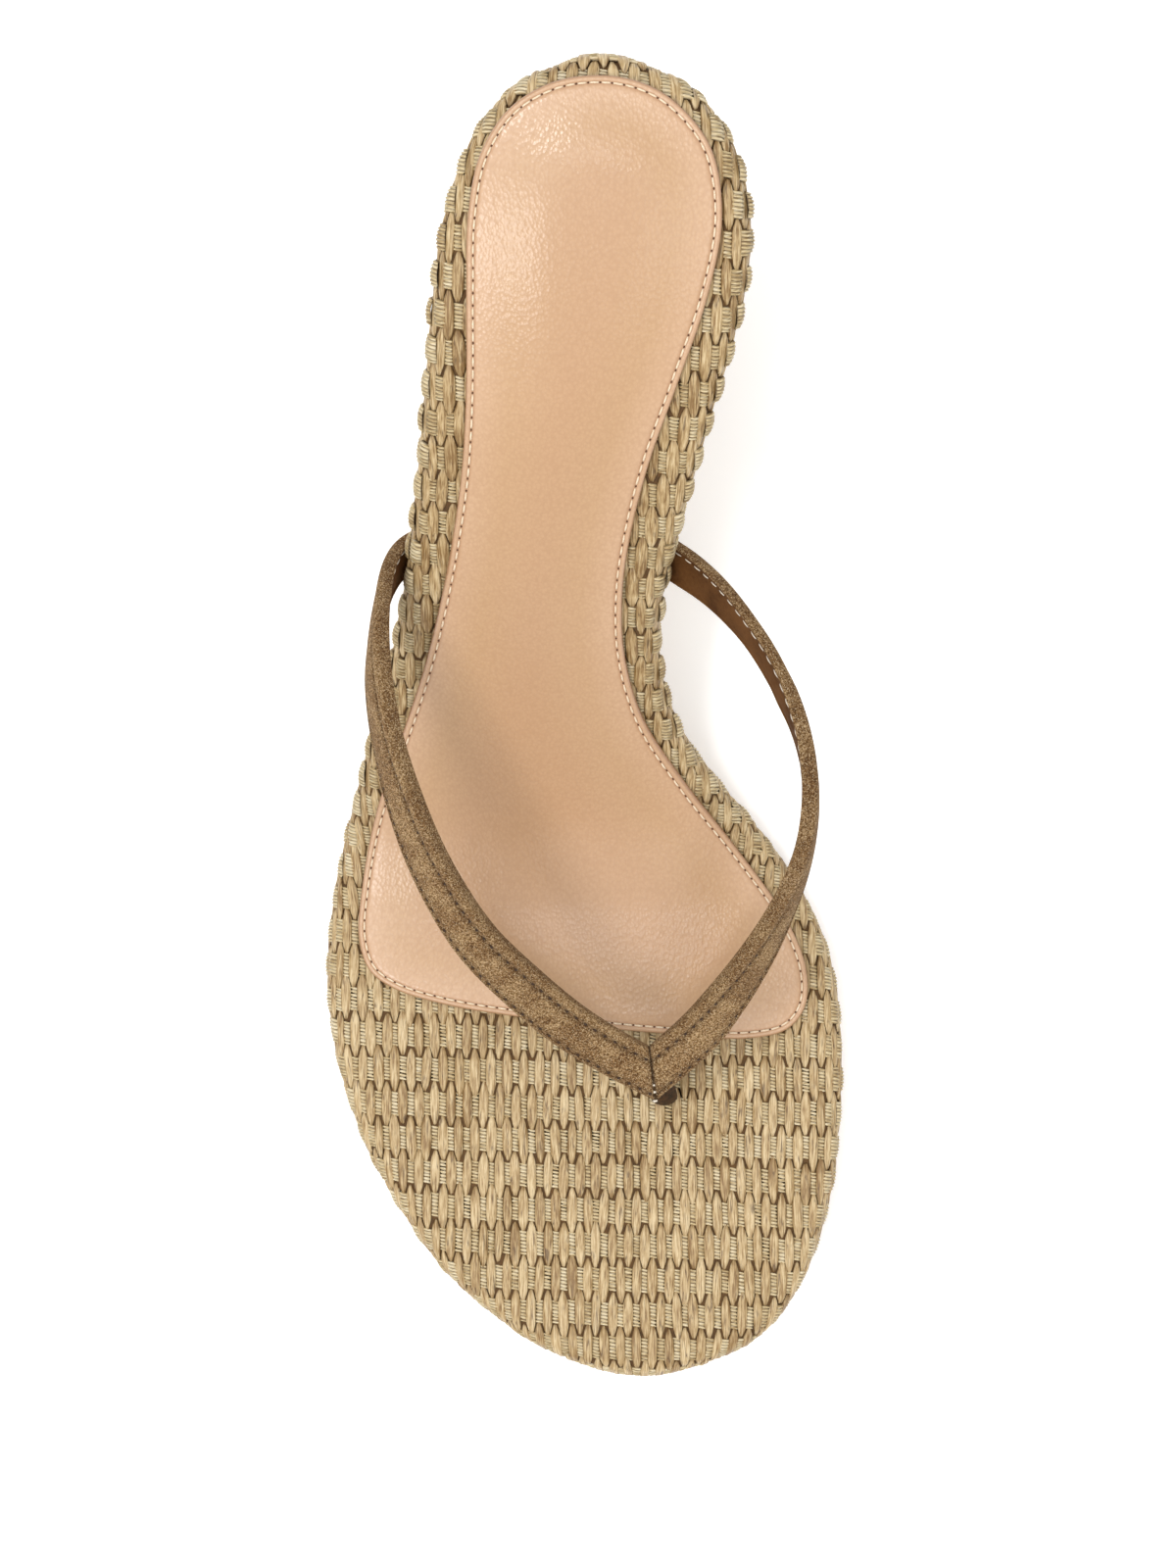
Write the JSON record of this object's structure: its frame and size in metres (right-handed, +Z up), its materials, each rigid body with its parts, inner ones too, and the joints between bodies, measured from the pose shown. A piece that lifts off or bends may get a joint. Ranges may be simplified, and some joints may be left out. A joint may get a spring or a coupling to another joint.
{
  "type": "thong sandal",
  "caption": "Right-foot thong sandal: high woven-covered wedge, smooth leather sock and a V-shaped suede strap with a toe post.",
  "frame": {"origin": "middle of the footprint's bounding box, on the floor under the outsole", "axes": "+Z up, -Y toward the toe, +Y toward the heel, +X toward the big-toe side of a right foot"},
  "size_m": [0.0922, 0.2194, 0.0837],
  "materials": {
    "outsole": "matte",
    "wedge_weave": "woven straw",
    "board_weave": "woven straw",
    "sock_leather": "smooth satin",
    "strap_suede": "suede"
  },
  "bodies": {
    "root": {"outsole": "outsole", "wedge_heel": "wedge_weave", "footbed_board": "board_weave", "sock": "sock_leather", "strap_upper": "strap_suede"}
  },
  "joints": []
}
